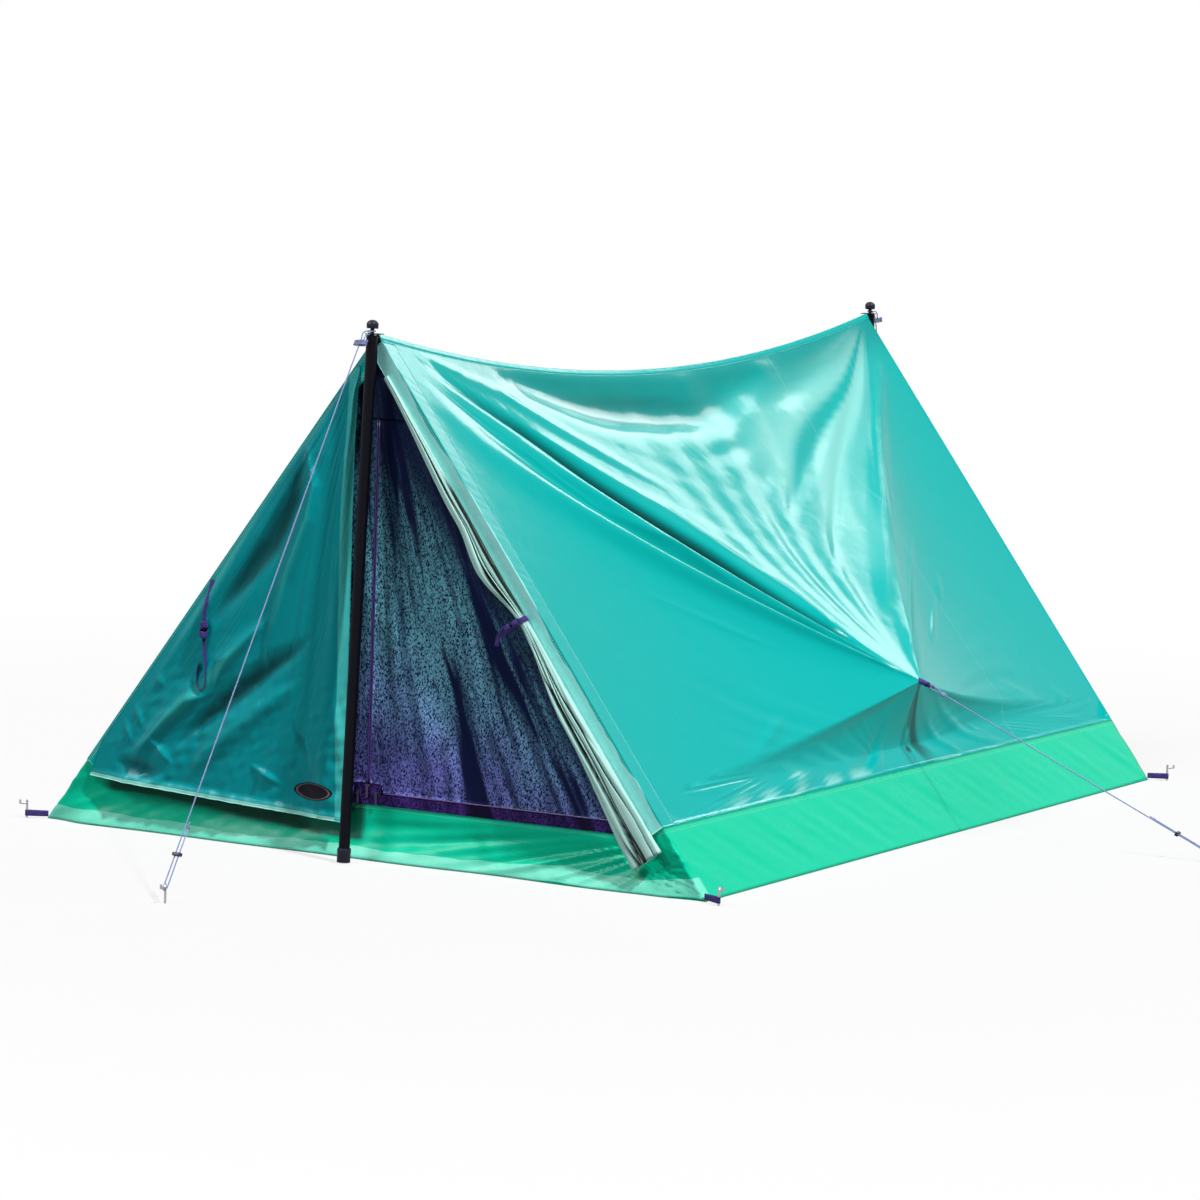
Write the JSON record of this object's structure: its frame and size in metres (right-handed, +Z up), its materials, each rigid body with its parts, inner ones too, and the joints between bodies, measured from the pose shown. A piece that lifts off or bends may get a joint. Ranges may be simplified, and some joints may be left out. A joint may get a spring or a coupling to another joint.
{
  "type": "ridge tent",
  "caption": "Small ridge tent pitched on outside poles, with pulled-out walls, a tub floor, zipped mesh doors and two storm flaps, one of them tied back.",
  "frame": {"origin": "on the ground under the middle of the floor", "axes": "+Y along the tent to the rear, the doorway at -Y; +X to the right seen from the doorway; +Z up"},
  "size_m": [2.5524, 3.1974, 1.0509],
  "materials": {
    "teal_taffeta": "shiny coated taffeta",
    "green_tub_cloth": "coated cloth",
    "navy_mesh": "fine insect mesh",
    "purple_webbing": "woven tape",
    "purple_zip": "coil zip",
    "black_pole": "dark painted tube",
    "black_plastic": "moulded plastic",
    "pale_cord": "braided cord",
    "stake_steel": "bare steel"
  },
  "bodies": {
    "tent": {"roof_right": "teal_taffeta", "roof_left": "teal_taffeta", "ridge_tape": "teal_taffeta", "front_hem_right": "teal_taffeta", "front_hem_left": "teal_taffeta", "right_storm_flap": "teal_taffeta", "rear_wall": "teal_taffeta", "floor_tub": "green_tub_cloth", "apex_gusset": "navy_mesh", "sill_band": "navy_mesh", "rear_window_mesh": "navy_mesh", "right_flap_tie": "purple_webbing", "front_apex_tab": "purple_webbing", "rear_apex_tab": "purple_webbing", "right_pull_out": "purple_webbing", "left_pull_out": "purple_webbing", "front_left_corner_loop": "purple_webbing", "front_right_corner_loop": "purple_webbing", "rear_left_corner_loop": "purple_webbing", "rear_right_corner_loop": "purple_webbing", "front_pole_lower": "black_pole", "front_pole_middle": "black_pole", "front_pole_upper": "black_pole", "front_pole_tip": "black_pole", "rear_pole_lower": "black_pole", "rear_pole_middle": "black_pole", "rear_pole_upper": "black_pole", "rear_pole_tip": "black_pole", "front_pole_foot": "black_plastic", "front_pole_cap": "black_plastic", "rear_pole_foot": "black_plastic", "rear_pole_cap": "black_plastic", "front_guyline": "pale_cord", "rear_guyline": "pale_cord", "right_guyline": "pale_cord", "left_guyline": "pale_cord", "front_guy_stake": "stake_steel", "rear_guy_stake": "stake_steel", "right_guy_stake": "stake_steel", "left_guy_stake": "stake_steel", "front_left_corner_stake": "stake_steel", "front_right_corner_stake": "stake_steel", "rear_left_corner_stake": "stake_steel", "rear_right_corner_stake": "stake_steel"},
    "right_door": {"right_mesh_door": "navy_mesh", "centre_zip_right": "purple_zip", "sill_zip_right": "purple_zip"},
    "left_door": {"left_mesh_door": "navy_mesh", "centre_zip_left": "purple_zip", "sill_zip_left": "purple_zip"},
    "left_flap": {"left_storm_flap": "teal_taffeta", "left_flap_tie": "purple_webbing"},
    "window_flap": {"rear_window_flap": "teal_taffeta"},
    "centre_slider": {"centre_zip_slider": "stake_steel"},
    "right_slider": {"right_sill_slider": "stake_steel"},
    "left_slider": {"left_sill_slider": "stake_steel"},
    "front_line_runner": {"front_runner": "black_plastic"},
    "rear_line_runner": {"rear_runner": "black_plastic"},
    "right_line_runner": {"right_runner": "black_plastic"},
    "left_line_runner": {"left_runner": "black_plastic"}
  },
  "joints": [
    {"name": "right_door_swing", "type": "hinge", "parent": "tent", "child": "right_door", "pos_m": [0.38792, -1.052, 0.4945], "axis": [0.5978, 0, -0.8017], "range_deg": [0, 70]},
    {"name": "left_door_swing", "type": "hinge", "parent": "tent", "child": "left_door", "pos_m": [-0.38792, -1.052, 0.4945], "axis": [0.5978, 0, 0.8017], "range_deg": [0, 70]},
    {"name": "left_flap_swing", "type": "hinge", "parent": "tent", "child": "left_flap", "pos_m": [-0.36087, -1.06775, 0.53], "axis": [-0.5967, 0, -0.8024], "range_deg": [0, 100]},
    {"name": "window_flap_swing", "type": "hinge", "parent": "tent", "child": "window_flap", "pos_m": [0, 1.04935, 0.682], "axis": [-1, 0, 0], "range_deg": [0, 70]},
    {"name": "centre_zip_run", "type": "slide", "parent": "tent", "child": "centre_slider", "axis": [0, 0, 1], "range_m": [0, 0.7286]},
    {"name": "right_sill_zip_run", "type": "slide", "parent": "tent", "child": "right_slider", "axis": [1, 0, 0], "range_m": [0, 0.554]},
    {"name": "left_sill_zip_run", "type": "slide", "parent": "tent", "child": "left_slider", "axis": [-1, 0, 0], "range_m": [0, 0.554]},
    {"name": "front_line_slide", "type": "slide", "parent": "tent", "child": "front_line_runner", "axis": [0, 0.5304, 0.8477], "range_m": [0, 0.04]},
    {"name": "rear_line_slide", "type": "slide", "parent": "tent", "child": "rear_line_runner", "axis": [0, -0.3015, 0.9535], "range_m": [0, 0.04]},
    {"name": "right_line_slide", "type": "slide", "parent": "tent", "child": "right_line_runner", "axis": [-0.9141, 0, 0.4055], "range_m": [0, 0.04]},
    {"name": "left_line_slide", "type": "slide", "parent": "tent", "child": "left_line_runner", "axis": [0.8785, 0, 0.4777], "range_m": [0, 0.04]}
  ]
}
